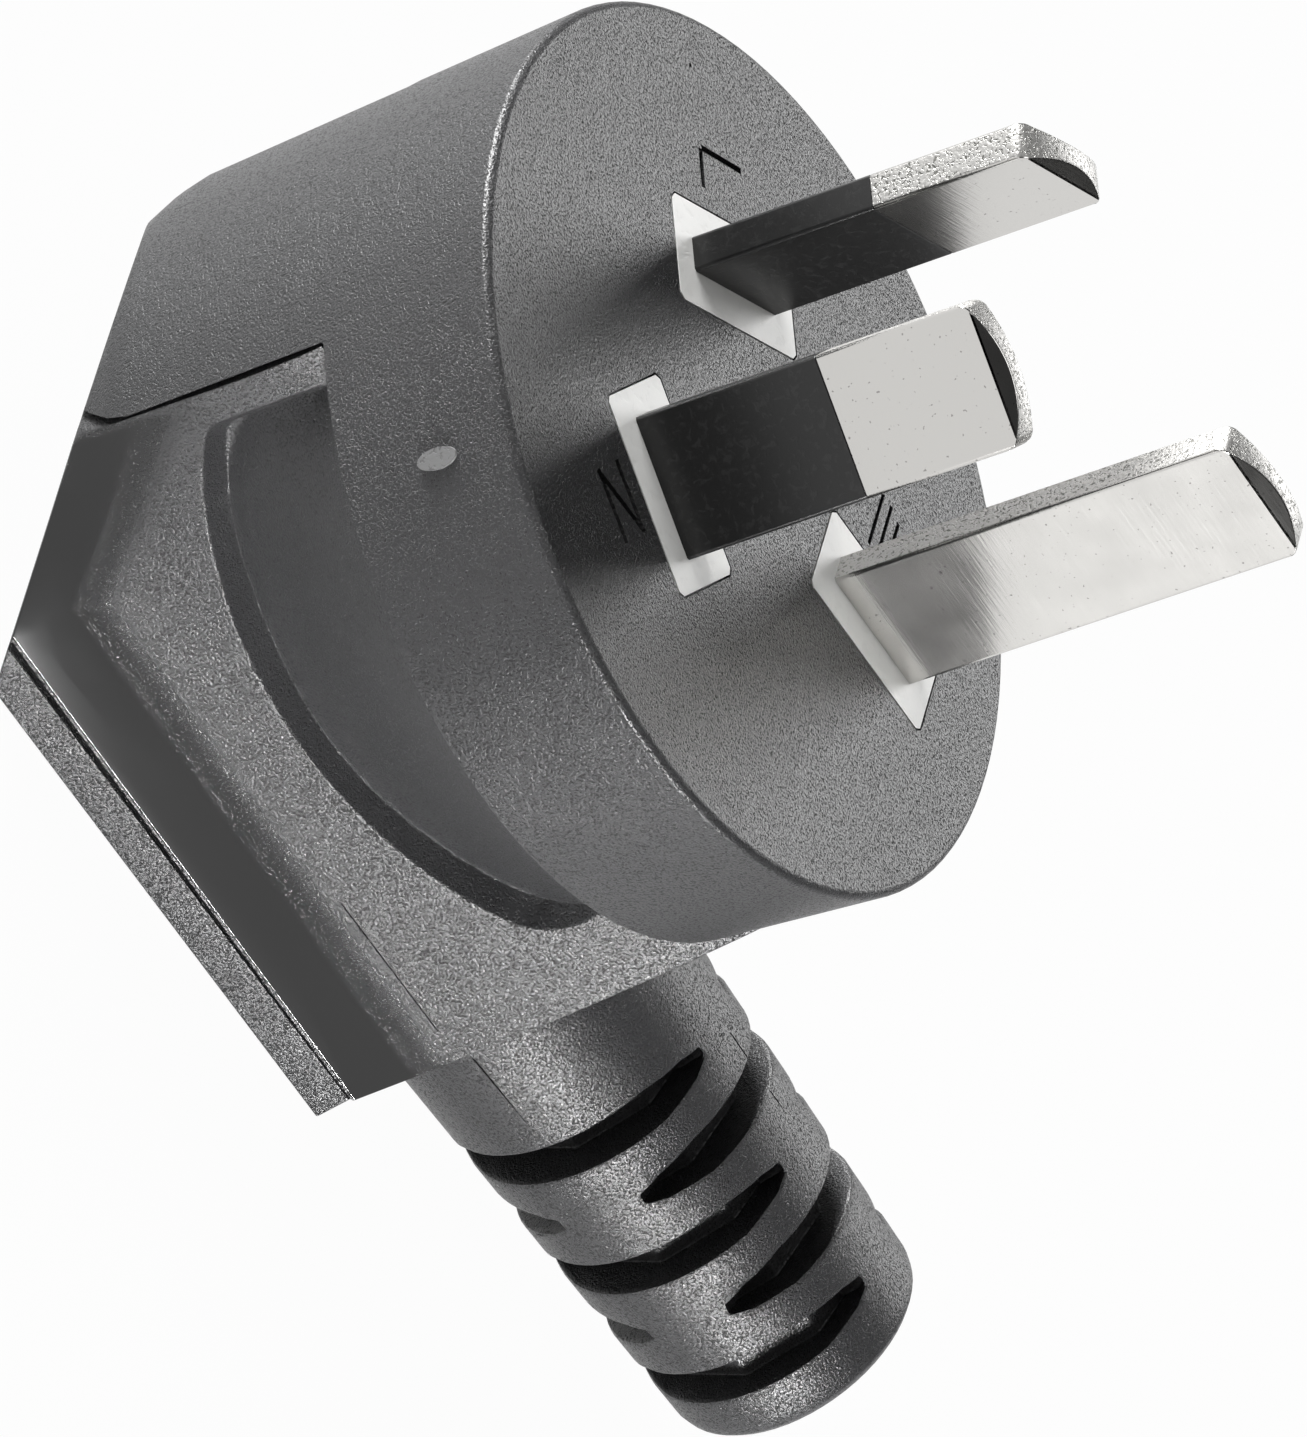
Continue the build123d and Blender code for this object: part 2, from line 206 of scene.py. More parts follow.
def merged_copy(node, name):
    """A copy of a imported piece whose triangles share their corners."""
    piece = nodes[node].copy()
    piece.data = nodes[node].data.copy()
    piece.name = name
    piece.data.name = name
    bpy.context.scene.collection.objects.link(piece)
    piece.parent = None
    only(piece)
    if piece.data.has_custom_normals:
        bpy.ops.mesh.customdata_custom_splitnormals_clear()
    bpy.ops.object.mode_set(mode="EDIT")
    bpy.ops.mesh.select_all(action="SELECT")
    bpy.ops.mesh.remove_doubles(threshold=merge_distance)
    bpy.ops.mesh.dissolve_limited(angle_limit=math.radians(flat_angle))
    bpy.ops.object.mode_set(mode="OBJECT")
    return piece


moulding = merged_copy("housing", "moulding")
print("moulding", len(moulding.data.vertices), "corners,", len(moulding.data.polygons), "faces")

# %% [markdown]
# How round each edge is
# The radii differ: most edges of the tool are crisp, but the far lip of each slot in the strain
# relief is worn soft, because it drags as the part leaves the mould. The bevel modifier can read a
# weight from each edge, so the weights are worked out from where an edge lies.

# %% Weigh the edges
edge_angle = 28
widest_radius = 0.36 * mm
crisp_radius = 0.11 * mm
corner_radius = 0.34 * mm
lip_radius = 0.24 * mm
slot_first = 27.1 * mm
slot_pitch = 3.57 * mm
slot_reach = 1.1 * mm
last_slot = 4
relief_axis_depth = 25.1 * mm
lip_ring = 5.7 * mm
gate_centre = Vector((-14.08, 13.63, -3.78)) * mm
gate_reach = 1.3 * mm
back_corner = Vector((0, 6.6, -32.2)) * mm
back_corner_reach = 0.1 * mm
window_zone = 17.5 * mm
hair = 0.01 * mm


def is_slot_lip(middle):
    """Whether a point lies on the far outer edge of one of the strain relief's slots."""
    along = -middle.y - slot_first
    index = round(along / slot_pitch)
    past = along - index * slot_pitch
    ring = math.hypot(middle.x, middle.z + relief_axis_depth)
    return 0 <= index <= last_slot and 0 < past < slot_reach and ring > lip_ring


def is_back_corner(middle):
    """Whether a point lies on the edge between the flat back and the sloped upper back."""
    away = middle - back_corner
    return abs(away.y) < back_corner_reach and abs(away.z) < back_corner_reach


def is_window_rim(middle):
    """Whether a point lies on the face's own edge round one of the white bosses."""
    return abs(middle.z) < hair and math.hypot(middle.x, middle.y) < window_zone


def radius_at(middle):
    """Radius of the moulding's edge at a point."""
    if (middle - gate_centre).length < gate_reach or is_window_rim(middle):
        return 0
    if is_slot_lip(middle):
        return lip_radius
    if is_back_corner(middle):
        return corner_radius
    return crisp_radius


def weigh_edges(piece, rule):
    """Writes the bevel weight of every edge that turns by a clear angle."""
    shape = bmesh.new()
    shape.from_mesh(piece.data)
    weights = shape.edges.layers.float.new("bevel_weight_edge")
    count = 0
    for edge in shape.edges:
        if edge.calc_face_angle(0) > math.radians(edge_angle):
            middle = (edge.verts[0].co + edge.verts[1].co) / 2
            edge[weights] = rule(middle) / widest_radius
            count += 1
    shape.to_mesh(piece.data)
    shape.free()
    return count


print("weighed edges", weigh_edges(moulding, radius_at))

# %% Round them
round_segments = 2


def round_edges(piece):
    """Bevels a piece's weighted edges."""
    only(piece)
    bevel = piece.modifiers.new("soft_edges", "BEVEL")
    bevel.width = widest_radius
    bevel.segments = round_segments
    bevel.limit_method = "WEIGHT"
    bevel.use_clamp_overlap = False
    bpy.ops.object.modifier_apply(modifier=bevel.name)


round_edges(moulding)
print("rounded moulding", len(moulding.data.polygons), "faces")

# %% Keep flat faces flat
upright = 0.999


def is_on_face(polygon):
    """Whether a polygon is part of the flat face that the pins stand on."""
    return polygon.normal.z > upright and abs(polygon.center.z) < hair


def fence_face(piece):
    """Marks the outline of the flat face sharp, so that its shading stays flat to its edge."""
    inside = [0] * len(piece.data.edges)
    for polygon in piece.data.polygons:
        if is_on_face(polygon):
            for corner in polygon.loop_indices:
                inside[piece.data.loops[corner].edge_index] += 1
    for edge in piece.data.edges:
        if inside[edge.index] == 1:
            edge.use_edge_sharp = True


def even_normals(piece):
    """Smooths the small faces of the edges while the large ones stay flat."""
    only(piece)
    bpy.ops.object.shade_smooth_by_angle(angle=math.radians(edge_angle))
    fence_face(piece)
    even = piece.modifiers.new("even_normals", "WEIGHTED_NORMAL")
    even.keep_sharp = True
    bpy.ops.object.modifier_apply(modifier=even.name)


print("face polygons", sum(is_on_face(polygon) for polygon in moulding.data.polygons))

# %% [markdown]
# Engraved marks
# The face carries the usual letters beside the active and the neutral pin and three bars beside
# the earth pin, as plain sunk strokes. Each stroke is a thin block, the blocks are joined into a
# cutter, and a boolean sinks them into the moulding. Curves or text would do too, but blocks keep
# the strokes' square ends and their even depth. A cutter may not cross itself, so the strokes
# that meet others are cut in a second pass. One small dent is cut with them.

# %% Cut strokes
stroke_width = 0.30 * mm
stroke_depth = 0.28 * mm


def stroke(start, end, width, depth, up=(0, 0, 1)):
    """A thin block along a line on a surface whose outward direction is up."""
    start = Vector(start) * mm
    end = Vector(end) * mm
    up = Vector(up).normalized()
    along = (end - start).normalized()
    across = up.cross(along)
    bpy.ops.mesh.primitive_cube_add(size=1)
    block = bpy.context.object
    sides = Matrix((along, across, up)).transposed().to_4x4()
    scale = Matrix.Diagonal(((end - start).length + width, width, 2 * depth, 1))
    block.matrix_world = Matrix.Translation((start + end) / 2) @ sides @ scale
    bpy.ops.object.transform_apply(location=True, rotation=True, scale=True)
    bpy.ops.object.mode_set(mode="EDIT")
    bpy.ops.mesh.select_all(action="SELECT")
    bpy.ops.mesh.normals_make_consistent(inside=False)
    bpy.ops.object.mode_set(mode="OBJECT")
    return block


def carve(piece, blocks):
    """Sinks a list of blocks into a piece."""
    only(blocks[0])
    for block in blocks:
        block.select_set(True)
    if len(blocks) > 1:
        bpy.ops.object.join()
    cutter = blocks[0]
    only(piece)
    cut = piece.modifiers.new("marks", "BOOLEAN")
    cut.operation = "DIFFERENCE"
    cut.solver = "EXACT"
    cut.object = cutter
    bpy.ops.object.modifier_apply(modifier=cut.name)
    bpy.data.objects.remove(cutter, do_unlink=True)
    return len(piece.data.polygons)


print("strokes", round(stroke_width / mm, 2), "mm wide", round(stroke_depth / mm, 2), "mm deep")

# %% Letters from strokes
letter_height = 3.0
letter_width = 1.75


def letter(corner, up, lines):
    """Strokes of a letter, from points in parts of its width and height."""
    up = Vector((*up, 0)).normalized()
    right = up.cross(Vector((0, 0, 1)))
    blocks = []
    for start, end in lines:
        ends = []
        for across, along in (start, end):
            place = Vector((*corner, 0)) + right * across * letter_width + up * along * letter_height
            ends.append(place)
        blocks.append(stroke(*ends, stroke_width, stroke_depth))
    return blocks


active_place = ((10.67, 8.2), (0.48, -0.877))
neutral_place = ((-9.1, 7.3), (-0.48, -0.877))
print("letters", letter_height, "mm high")

# %% Sink the marks
bar_start = 3.2
bar_width = 0.22 * mm
earth_bars = ((-8.55, 6.25), (-9.25, 6.2), (-9.95, 5.85))
dent = ((13.84, 10.22, 0), (13.88, 10.24, 0))
dent_width = 0.13 * mm
dent_depth = 0.15 * mm
marks = letter(*active_place, (((0, 0.08), (0, 1)),))
marks += letter(*neutral_place, (((0, 0), (0, 1)), ((1, 0), (1, 1))))
for height, reach in earth_bars:
    marks.append(stroke((bar_start, height, 0), (reach, height, 0), bar_width, stroke_depth))
marks.append(stroke(*dent, dent_width, dent_depth))
print("marks cut,", carve(moulding, marks), "faces")
crossing = letter(*active_place, (((0.12, 0), (1, 0)),))
crossing += letter(*neutral_place, (((0, 1), (1, 0)),))
print("crossing strokes cut,", carve(moulding, crossing), "faces")

# %% [markdown]
# The gap round the bosses
# The black moulding shrinks away from the white carrier as it cools, which leaves a hair-thin dark
# gap round each boss. The bosses themselves make the cutter: a copy of the carrier is cut off just
# under the face, fattened by the gap's width, and taken out of the moulding.

# %% Open the gaps
gap_width = 0.09 * mm
gap_depth = 0.30 * mm


def boss_cutter():
    """The tops of the white bosses, a little fatter on all sides."""
    cutter = merged_copy("pin_carrier", "gap_cutter")
    only(cutter)
    bpy.ops.object.mode_set(mode="EDIT")
    bpy.ops.mesh.select_all(action="SELECT")
    cut_place = (0, 0, -gap_depth)
    bpy.ops.mesh.bisect(plane_co=cut_place, plane_no=(0, 0, 1), clear_inner=True, use_fill=True)
    bpy.ops.mesh.select_all(action="SELECT")
    bpy.ops.mesh.normals_make_consistent(inside=False)
    bpy.ops.transform.shrink_fatten(value=gap_width, use_even_offset=True)
    bpy.ops.object.mode_set(mode="OBJECT")
    return cutter


print("gaps opened,", carve(moulding, [boss_cutter()]), "faces")

# %% [markdown]
# Witness lines
# Where the parts of the mould met, hair-thin lines are left: one along the top of the strain
# relief, and one on each side of the fin and the relief, at the height of the cord's axis. They
# are strokes too, only finer.

# %% Mould lines
line_width = 0.09 * mm
line_depth = 0.09 * mm
relief_taper = 0.035
fin_lean = (0.025, 0.088)
top_line = ((0, -19.6, -18.05), (0, -44.0, -18.90))
lines = [stroke(*top_line, line_width, line_depth, (0, relief_taper, 1))]
for side in (-1, 1):
    fin_line = ((side * 8.03, -9.96, -25.11), (side * 8.21, -17.6, -24.95))
    relief_line = ((side * 7.02, -19.6, -25.1), (side * 6.82, -25.9, -25.1))
    lines.append(stroke(*fin_line, line_width, line_depth, (side, *fin_lean)))
    lines.append(stroke(*relief_line, line_width, line_depth, (side, relief_taper, 0)))
print("lines cut,", carve(moulding, lines), "faces")

# %% Hand the moulding over
even_normals(moulding)
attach(moulding, "root")
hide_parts("housing")
print("moulding", len(moulding.data.polygons), "faces")

# %% [markdown]
# Pins and sleeves
# The blades are punched and tumbled before they are plated, so their edges are broken by a few
# hundredths of a millimetre and catch a thin bright line. The sleeves' edges are as fine. Each
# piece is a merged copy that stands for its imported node, with one small bevel all over.

# %% Soften the metal and the sleeves
blade_radius = 0.06 * mm
sleeve_radius = 0.05 * mm
softened = {
    "active_pin": ("active_blade", "plated_brass", blade_radius),
    "neutral_pin": ("neutral_blade", "plated_brass", blade_radius),
    "earth_pin": ("earth_blade", "plated_brass", blade_radius),
    "active_sleeve": ("active_sleeve_skin", "sleeve_plastic", sleeve_radius),
    "neutral_sleeve": ("neutral_sleeve_skin", "sleeve_plastic", sleeve_radius),
}
skins = {}
for node, (name, slot, radius) in softened.items():
    skin = merged_copy(node, name)
    weigh_edges(skin, lambda middle: radius)
    round_edges(skin)
    even_normals(skin)
    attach(skin, "root")
    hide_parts(node)
    skins[node] = skin
    print(name, len(skin.data.polygons), "faces")

# %% [markdown]
# Grain
# Spark erosion leaves a mould, and so the plastic, with fine shallow pits about a tenth of a
# millimetre across. The pattern is solid noise on Object coordinates, so it has the same size
# on every side and needs no unwrapping. It is a node group, because the moulding, the sleeves,
# the white bosses and the pins' sheared sides all use it, each at its own scale.

# %% Grain group
def add_socket(group, name, kind, way, value=None):
    """Adds a named socket to a node group."""
    socket = group.interface.new_socket(name=name, in_out=way, socket_type=kind)
    if value is not None:
        socket.default_value = value


def pit_mask(group, low, high):
    """A node that gives 1 where a noise is below a low value and 0 where it is above a high one."""
    dots = group.nodes.new("ShaderNodeMapRange")
    dots.inputs["From Min"].default_value = low
    dots.inputs["From Max"].default_value = high
    dots.inputs["To Min"].default_value = 1
    dots.inputs["To Max"].default_value = 0
    return dots


pit_detail = 3
pit_roughening = 0.55
pit_distortion = 0.6
cell_share = 0.35
hole_height = -0.8
grain_pits = (0.37, 0.45)


def grain_group():
    """Height of an eroded surface, and a mask of its dark pits."""
    group = bpy.data.node_groups.new("eroded_grain", "ShaderNodeTree")
    add_socket(group, "Pit Scale", "NodeSocketFloat", "INPUT", 3000.0)
    add_socket(group, "Speckle", "NodeSocketFloat", "INPUT", 0.5)
    add_socket(group, "Height", "NodeSocketFloat", "OUTPUT")
    add_socket(group, "Pits", "NodeSocketFloat", "OUTPUT")
    start = group.nodes.new("NodeGroupInput")
    end = group.nodes.new("NodeGroupOutput")
    place = group.nodes.new("ShaderNodeTexCoord")
    pits = group.nodes.new("ShaderNodeTexNoise")
    pits.inputs["Detail"].default_value = pit_detail
    pits.inputs["Roughness"].default_value = pit_roughening
    pits.inputs["Distortion"].default_value = pit_distortion
    cells = group.nodes.new("ShaderNodeTexVoronoi")
    cells.feature = "SMOOTH_F1"
    mix = group.nodes.new("ShaderNodeMix")
    mix.inputs["Factor"].default_value = cell_share
    dots = pit_mask(group, *grain_pits)
    strength = group.nodes.new("ShaderNodeMath")
    strength.operation = "MULTIPLY"
    holes = group.nodes.new("ShaderNodeMath")
    holes.operation = "MULTIPLY_ADD"
    holes.inputs[1].default_value = hole_height
    for texture in (pits, cells):
        link(group, place.outputs["Object"], texture.inputs["Vector"])
        link(group, start.outputs["Pit Scale"], texture.inputs["Scale"])
    link(group, pits.outputs["Fac"], mix.inputs["A"])
    link(group, cells.outputs["Distance"], mix.inputs["B"])
    link(group, pits.outputs["Fac"], dots.inputs["Value"])
    link(group, dots.outputs["Result"], strength.inputs[0])
    link(group, start.outputs["Speckle"], strength.inputs[1])
    link(group, strength.outputs[0], holes.inputs[0])
    link(group, mix.outputs["Result"], holes.inputs[2])
    link(group, holes.outputs[0], end.inputs["Height"])
    link(group, strength.outputs[0], end.inputs["Pits"])
    return group


grain = grain_group()
print("grain group sockets", [item.name for item in grain.interface.items_tree])

# %% [markdown]
# Materials
# Each finish has its own Principled shader, and helpers make what they share. Another helper
# gives a value that goes smoothly from one number to another, for masks from a surface's place.
# The moulding comes first. Its black is a little lighter on the grain's tops than in its pits.

# %% Material helpers
def new_material(name, base, roughness):
    """A material with a Principled shader, its plain colour and roughness set on the shader."""
    material = bpy.data.materials.new(name)
    material.use_nodes = True
    shader = material.node_tree.nodes["Principled BSDF"]
    shader.inputs["Base Color"].default_value = (*base, 1)
    shader.inputs["Roughness"].default_value = roughness
    return material, material.node_tree, shader


def grained(tree, shader, scale, depth, light, dark, speckle):
    """Gives a shader the grain's bump, and its pits a darker colour. Returns its nodes."""
    skin = tree.nodes.new("ShaderNodeGroup")
    skin.node_tree = grain
    skin.inputs["Pit Scale"].default_value = scale
    skin.inputs["Speckle"].default_value = speckle
    bump = tree.nodes.new("ShaderNodeBump")
    bump.inputs["Distance"].default_value = depth
    colour = tree.nodes.new("ShaderNodeMix")
    colour.data_type = "RGBA"
    colour.inputs["A"].default_value = (*light, 1)
    colour.inputs["B"].default_value = (*dark, 1)
    link(tree, skin.outputs["Height"], bump.inputs["Height"])
    link(tree, bump.outputs["Normal"], shader.inputs["Normal"])
    link(tree, skin.outputs["Pits"], colour.inputs["Factor"])
    link(tree, colour.outputs["Result"], shader.inputs["Base Color"])
    return skin, bump, colour


def ramp(tree, value, low, high, start, end):
    """A value that goes from start to end while another goes from low to high."""
    node = tree.nodes.new("ShaderNodeMapRange")
    node.interpolation_type = "SMOOTHSTEP"
    node.inputs["From Min"].default_value = low
    node.inputs["From Max"].default_value = high
    node.inputs["To Min"].default_value = start
    node.inputs["To Max"].default_value = end
    link(tree, value, node.inputs["Value"])
    return node.outputs["Result"]


def sum_up(tree, operation, first, second):
    """One maths node on two values, each a socket or a number."""
    node = tree.nodes.new("ShaderNodeMath")
    node.operation = operation
    for socket, value in zip(node.inputs, (first, second)):
        if isinstance(value, (int, float)):
            socket.default_value = value
        else:
            link(tree, value, socket)
    return node.outputs[0]


print("materials so far", [material.name for material in bpy.data.materials])

# %% Black moulding
body_light = (0.016, 0.016, 0.017)
# The pits' dark colour, also used below as painted shade along the fin's foot and sloped back edge.
pit_and_shade_black = (0.003, 0.003, 0.003)
body_roughness = 0.36
body_grain = 9000.0
body_grain_depth = 0.06 * mm
body_speckle = 0.9
body_plastic, tree, shader = new_material("body_plastic", body_light, body_roughness)
grain_nodes = grained(tree, shader, body_grain, body_grain_depth, body_light, pit_and_shade_black, body_speckle)
skin, bump, colour = grain_nodes
moulding.data.materials.clear()
moulding.data.materials.append(body_plastic)
print("body plastic", body_light)

# %% [markdown]
# The smooth band with painted shade
# Along the fin's foot and its sloped back edge a dark band is painted in, as painted shade that
# keeps it nearly black beside the pale grained land. A mask made from the surface's own place
# gives the painted shade its dark colour, and also lowers the roughness there and takes the grain's
# height away. It stays off the rim below, the cap above and the middle.

# %% Where the painted shade band lies
band_start = -27.6 * mm
band_end = -24.0 * mm
rim_top = -30.2 * mm
rim_fade = 0.1 * mm
slope_height = 10.8
slope_run = 10.4
slope_rate = slope_height / slope_run
slope_foot_y = 6.6 * mm
slope_foot_z = -32.2 * mm
slope_line = slope_foot_z - slope_foot_y * slope_rate
slope_share = math.hypot(1, slope_rate)
band_near = 1.8 * mm
band_far = 5.0 * mm
near = slope_line + band_near * slope_share
far = slope_line + band_far * slope_share
cap_start = 15.8 * mm
cap_end = 16.6 * mm
side_start = 7.1 * mm
side_end = 7.4 * mm
place = tree.nodes.new("ShaderNodeTexCoord")
axes = tree.nodes.new("ShaderNodeSeparateXYZ")
link(tree, place.outputs["Object"], axes.inputs["Vector"])
x, y, z = (axes.outputs[axis] for axis in "XYZ")
# Painted shade: a mask for the dark band along the fin's foot and its sloped back edge.
foot_shade = ramp(tree, z, band_start, band_end, 1, 0)
from_slope = sum_up(tree, "SUBTRACT", z, sum_up(tree, "MULTIPLY", y, slope_rate))
slope_shade = ramp(tree, from_slope, near, far, 1, 0)
from_middle = sum_up(tree, "ABSOLUTE", x, 0)
shade_band = sum_up(tree, "MAXIMUM", foot_shade, slope_shade)
shade_band = sum_up(tree, "MULTIPLY", shade_band, ramp(tree, z, rim_top - rim_fade, rim_top, 0, 1))
shade_band = sum_up(tree, "MULTIPLY", shade_band, ramp(tree, y, cap_start, cap_end, 1, 0))
shade_band = sum_up(tree, "MULTIPLY", shade_band, ramp(tree, from_middle, side_start, side_end, 0, 1))
print("band from", round(band_start / mm, 1), "to", round(band_end / mm, 1), "mm")

# %% Smooth band and painted shade
band_roughness = 0.14
pit_extra = 0.45
grain_share = sum_up(tree, "SUBTRACT", 1, shade_band)
pit_share = sum_up(tree, "MULTIPLY", grain_share, pit_extra)
pit_roughness = sum_up(tree, "MULTIPLY", skin.outputs["Pits"], pit_share)
skin_roughness = ramp(tree, shade_band, 0, 1, body_roughness, band_roughness)
# Painted shade: the band is given the pits' dark colour.
pits_and_painted_shade = sum_up(tree, "MAXIMUM", shade_band, skin.outputs["Pits"])
height = sum_up(tree, "MULTIPLY", skin.outputs["Height"], grain_share)
link(tree, pits_and_painted_shade, colour.inputs["Factor"])
link(tree, sum_up(tree, "ADD", skin_roughness, pit_roughness), shader.inputs["Roughness"])
link(tree, height, bump.inputs["Height"])
print("band roughness", band_roughness)

# %% [markdown]
# Gate scar
# The nub where the moulding gate was cut off is torn, so it looks paler than the skin round it.
# It is picked out by the place of its faces, just proud of the drum, and gets its own finish.

# %% Paler nub
scar_grey = (0.12, 0.12, 0.12)
scar_dark = (0.05, 0.05, 0.05)
scar_roughness = 0.55
scar_grain = 4000.0
scar_depth = 0.03 * mm
scar_speckle = 0.6
scar_reach = 1.05 * mm
drum_side = 19.60 * mm
gate_scar, tree, shader = new_material("gate_scar", scar_grey, scar_roughness)
grained(tree, shader, scar_grain, scar_depth, scar_grey, scar_dark, scar_speckle)
moulding.data.materials.append(gate_scar)
scarred = 0
for polygon in moulding.data.polygons:
    middle = polygon.center
    if (middle - gate_centre).length < scar_reach and math.hypot(middle.x, middle.y) > drum_side:
        polygon.material_index = 1
        scarred += 1
print("scarred faces", scarred)

# %% [markdown]
# Bosses and sleeves
# The carrier is a smooth white moulding, handled a little, so its pits are faint. The sleeves are
# deep black and smooth, so they mirror the room softly.

# %% White bosses
carrier_white = (0.82, 0.82, 0.80)
carrier_shade = (0.72, 0.72, 0.70)
carrier_roughness = 0.5
carrier_grain = 1500.0
carrier_depth = 0.01 * mm
carrier_speckle = 0.3
carrier_plastic, tree, shader = new_material("carrier_plastic", carrier_white, carrier_roughness)
grained(tree, shader, carrier_grain, carrier_depth, carrier_white, carrier_shade, carrier_speckle)
print("carrier white", carrier_white)

# %% Sleeves
sleeve_black = (0.004, 0.004, 0.004)
sleeve_dust = (0.008, 0.008, 0.008)
sleeve_roughness = 0.30
sleeve_grain = 3000.0
sleeve_depth = 0.002 * mm
sleeve_speckle = 1.0
sleeve_plastic, tree, shader = new_material("sleeve_plastic", sleeve_black, sleeve_roughness)
grained(tree, shader, sleeve_grain, sleeve_depth, sleeve_black, sleeve_dust, sleeve_speckle)
print("sleeve black", sleeve_black)

# %% [markdown]
# Nickel
# The plate is bright, so the blades mirror the black face at their root and the pale floor above
# it. Grinding left fine marks that run across the blade. They are noise that a Mapping node
# stretches across the pins, so it turns into thin bands that tilt the mirror a little. A second
# noise gives sparse dark pits, and a coarse one gives clouds of a slightly rougher plate.

# %% Worn metal group
band_squeeze = (0.06, 0.06, 1)
metal_pits = (0.24, 0.29)
cloud_scale = 500


def worn_metal_group():
    """Grinding bands, small pits and cloudy wear on a metal surface."""
    group = bpy.data.node_groups.new("worn_metal", "ShaderNodeTree")
    add_socket(group, "Band Scale", "NodeSocketFloat", "INPUT", 9000.0)
    add_socket(group, "Pit Scale", "NodeSocketFloat", "INPUT", 5000.0)
    add_socket(group, "Height", "NodeSocketFloat", "OUTPUT")
    add_socket(group, "Pits", "NodeSocketFloat", "OUTPUT")
    add_socket(group, "Wear", "NodeSocketFloat", "OUTPUT")
    start = group.nodes.new("NodeGroupInput")
    end = group.nodes.new("NodeGroupOutput")
    place = group.nodes.new("ShaderNodeTexCoord")
    squeeze = group.nodes.new("ShaderNodeMapping")
    squeeze.inputs["Scale"].default_value = band_squeeze
    bands = group.nodes.new("ShaderNodeTexNoise")
    bands.inputs["Detail"].default_value = 2
    pits = group.nodes.new("ShaderNodeTexNoise")
    pits.inputs["Detail"].default_value = 1
    dots = pit_mask(group, *metal_pits)
    clouds = group.nodes.new("ShaderNodeTexNoise")
    clouds.inputs["Scale"].default_value = cloud_scale
    clouds.inputs["Detail"].default_value = 4
    link(group, place.outputs["Object"], squeeze.inputs["Vector"])
    link(group, squeeze.outputs["Vector"], bands.inputs["Vector"])
    link(group, start.outputs["Band Scale"], bands.inputs["Scale"])
    link(group, place.outputs["Object"], pits.inputs["Vector"])
    link(group, start.outputs["Pit Scale"], pits.inputs["Scale"])
    link(group, pits.outputs["Fac"], dots.inputs["Value"])
    link(group, place.outputs["Object"], clouds.inputs["Vector"])
    link(group, bands.outputs["Fac"], end.inputs["Height"])
    link(group, dots.outputs["Result"], end.inputs["Pits"])
    link(group, clouds.outputs["Fac"], end.inputs["Wear"])
    return group


worn_metal = worn_metal_group()
print("worn metal sockets", [item.name for item in worn_metal.interface.items_tree])

# %% Wear on a metal
wear_low = 0.3
wear_high = 0.7


def worn(tree, shader, depth, light, dark, smooth, rough):
    """Gives a metal its grinding bands, pits and a roughness that wanders."""
    skin = tree.nodes.new("ShaderNodeGroup")
    skin.node_tree = worn_metal
    bump = tree.nodes.new("ShaderNodeBump")
    bump.inputs["Distance"].default_value = depth
    colour = tree.nodes.new("ShaderNodeMix")
    colour.data_type = "RGBA"
    colour.inputs["A"].default_value = (*light, 1)
    colour.inputs["B"].default_value = (*dark, 1)
    spread = tree.nodes.new("ShaderNodeMapRange")
    spread.inputs["From Min"].default_value = wear_low
    spread.inputs["From Max"].default_value = wear_high
    spread.inputs["To Min"].default_value = smooth
    spread.inputs["To Max"].default_value = rough
    link(tree, skin.outputs["Height"], bump.inputs["Height"])
    link(tree, bump.outputs["Normal"], shader.inputs["Normal"])
    link(tree, skin.outputs["Pits"], colour.inputs["Factor"])
    link(tree, colour.outputs["Result"], shader.inputs["Base Color"])
    link(tree, skin.outputs["Wear"], spread.inputs["Value"])
    link(tree, spread.outputs["Result"], shader.inputs["Roughness"])


nickel = (0.62, 0.61, 0.59)
nickel_dark = (0.34, 0.33, 0.32)
grinding_depth = 0.004 * mm
nickel_smooth = 0.17
nickel_rough = 0.20
plated_brass, tree, shader = new_material("plated_brass", nickel, nickel_rough)
shader.inputs["Metallic"].default_value = 1
worn(tree, shader, grinding_depth, nickel, nickel_dark, nickel_smooth, nickel_rough)
print("nickel", nickel)

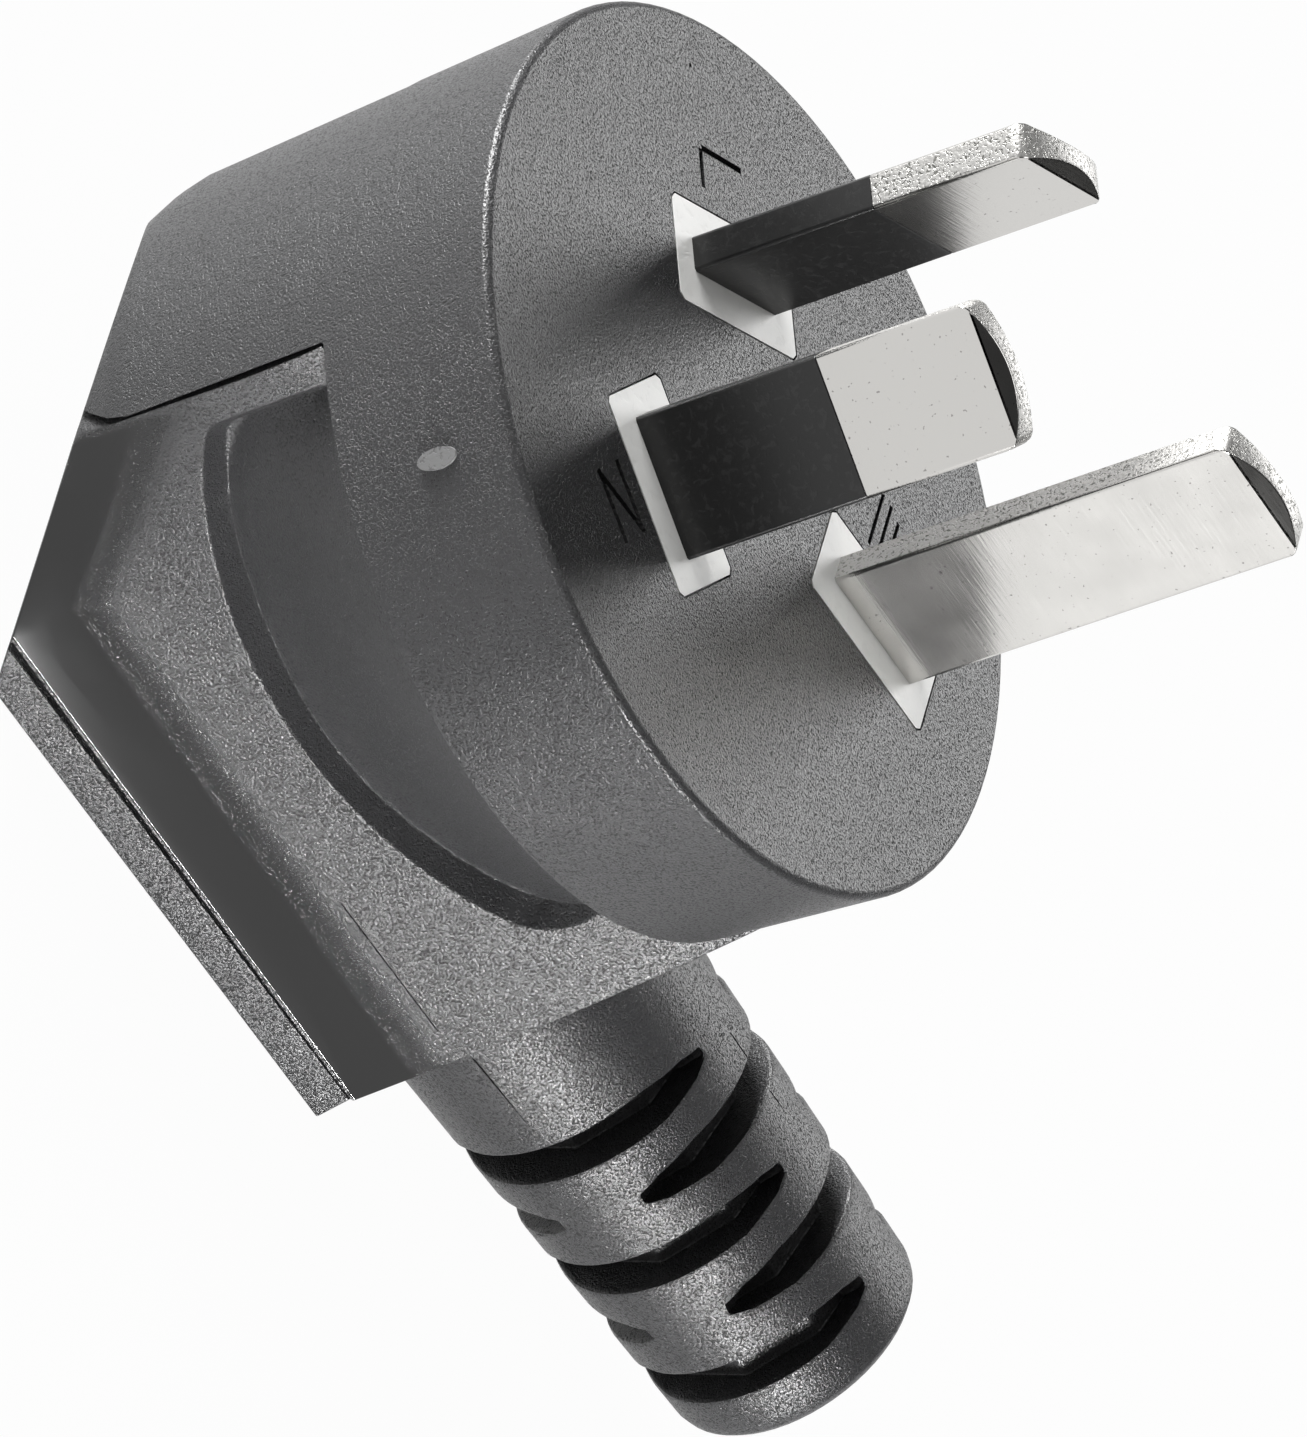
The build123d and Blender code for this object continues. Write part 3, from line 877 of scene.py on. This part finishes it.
# %% [markdown]
# Sheared sides and crimps
# The press shears the blades' narrow sides and tips, so they are rougher and duller than the
# rolled faces. They get a pitted metal of their own. The crimps are inside the moulding, where
# nobody sees them, so a plain tin-plated metal does.

# %% Sheared metal
sheared_grey = (0.36, 0.355, 0.345)
sheared_dark = (0.13, 0.13, 0.12)
sheared_roughness = 0.48
sheared_grain = 6000.0
sheared_depth = 0.03 * mm
sheared_speckle = 0.9
sheared_metal, tree, shader = new_material("sheared_metal", sheared_grey, sheared_roughness)
shader.inputs["Metallic"].default_value = 1
grained(tree, shader, sheared_grain, sheared_depth, sheared_grey, sheared_dark, sheared_speckle)
print("sheared metal", sheared_grey)

# %% Crimps
tin = (0.72, 0.70, 0.64)
tin_roughness = 0.35
crimp_brass, tree, shader = new_material("crimp_brass", tin, tin_roughness)
shader.inputs["Metallic"].default_value = 1
print("tin", tin)

# %% [markdown]
# Handing out
# Every piece gets its finish in its first slot. On a blade, the faces that stand square to the
# widest face are the sheared ones, and they get the pitted metal in a second slot.

# %% Hand out the materials
finishes = {
    "pin_carrier": carrier_plastic,
    "active_pin": plated_brass,
    "neutral_pin": plated_brass,
    "earth_pin": plated_brass,
    "active_sleeve": sleeve_plastic,
    "neutral_sleeve": sleeve_plastic,
    "active_crimp": crimp_brass,
    "neutral_crimp": crimp_brass,
    "earth_crimp": crimp_brass,
}
for node, material in finishes.items():
    piece = skins.get(node, nodes[node])
    piece.data.materials.clear()
    piece.data.materials.append(material)
print("finished", len(finishes), "pieces")

# %% Roughen the narrow sides
side_share = 0.3
for node in ("active_pin", "neutral_pin", "earth_pin"):
    blade = skins[node]
    flat = max(blade.data.polygons, key=lambda polygon: polygon.area).normal.copy()
    blade.data.materials.append(sheared_metal)
    sides = [polygon for polygon in blade.data.polygons if abs(polygon.normal.dot(flat)) < side_share]
    for polygon in sides:
        polygon.material_index = 1
    print(node, "sheared faces", len(sides), "of", len(blade.data.polygons))

# %% [markdown]
# Finish
# The Standard view shows each colour as it is.

# %% Finish
bpy.context.scene.view_settings.view_transform = "Standard"
